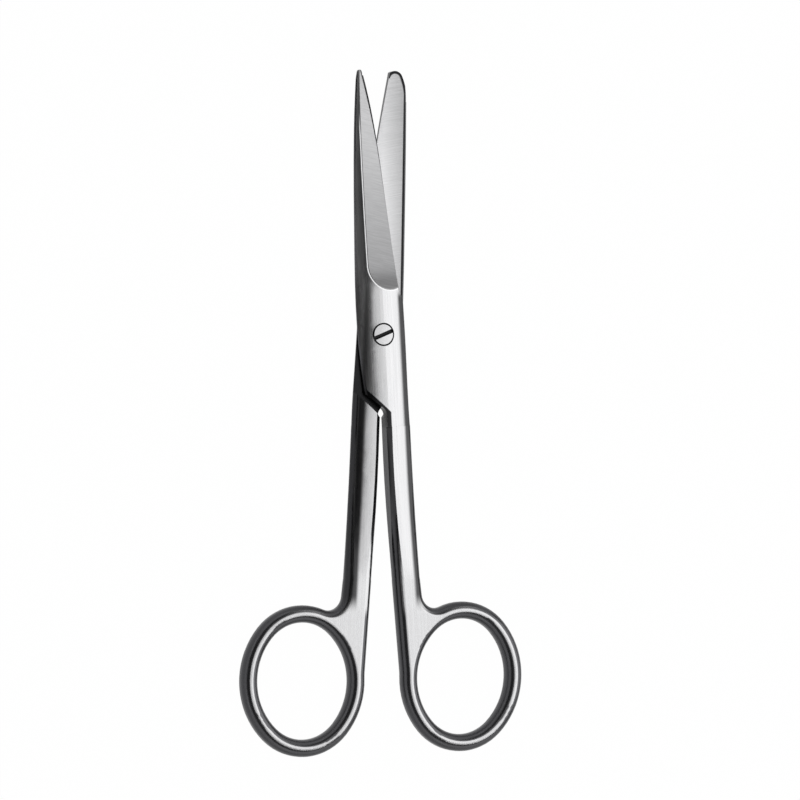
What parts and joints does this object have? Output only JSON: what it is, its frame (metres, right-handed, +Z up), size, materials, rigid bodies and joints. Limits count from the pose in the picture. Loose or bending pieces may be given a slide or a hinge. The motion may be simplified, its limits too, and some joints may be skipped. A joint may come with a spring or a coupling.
{
  "type": "operating scissors",
  "caption": "Straight sharp/blunt operating scissors in satin steel, lying flat and slightly open, with a half-lap joint on a slotted screw and oval finger rings.",
  "frame": {"origin": "the pivot screw's axis, at the underside of the joint on which the scissors lie", "axes": "+Y along the scissors to the tips, +X to the right seen from above, +Z up through the slotted screw head"},
  "size_m": [0.0646, 0.1443, 0.004],
  "materials": {
    "steel": "satin-ground stainless steel, fine grinding lines on the blades, softly polished shanks and rings",
    "screw_steel": "turned stainless steel screw with a dressed flat head"
  },
  "bodies": {
    "blunt": {"blunt_half": "steel", "pivot_screw": "screw_steel"},
    "sharp": {"sharp_half": "steel"}
  },
  "joints": [
    {"name": "pivot", "type": "hinge", "parent": "blunt", "child": "sharp", "pos_m": [0, 0, 0.002], "axis": [0, 0, 1], "range_deg": [-4.3, 75]}
  ]
}
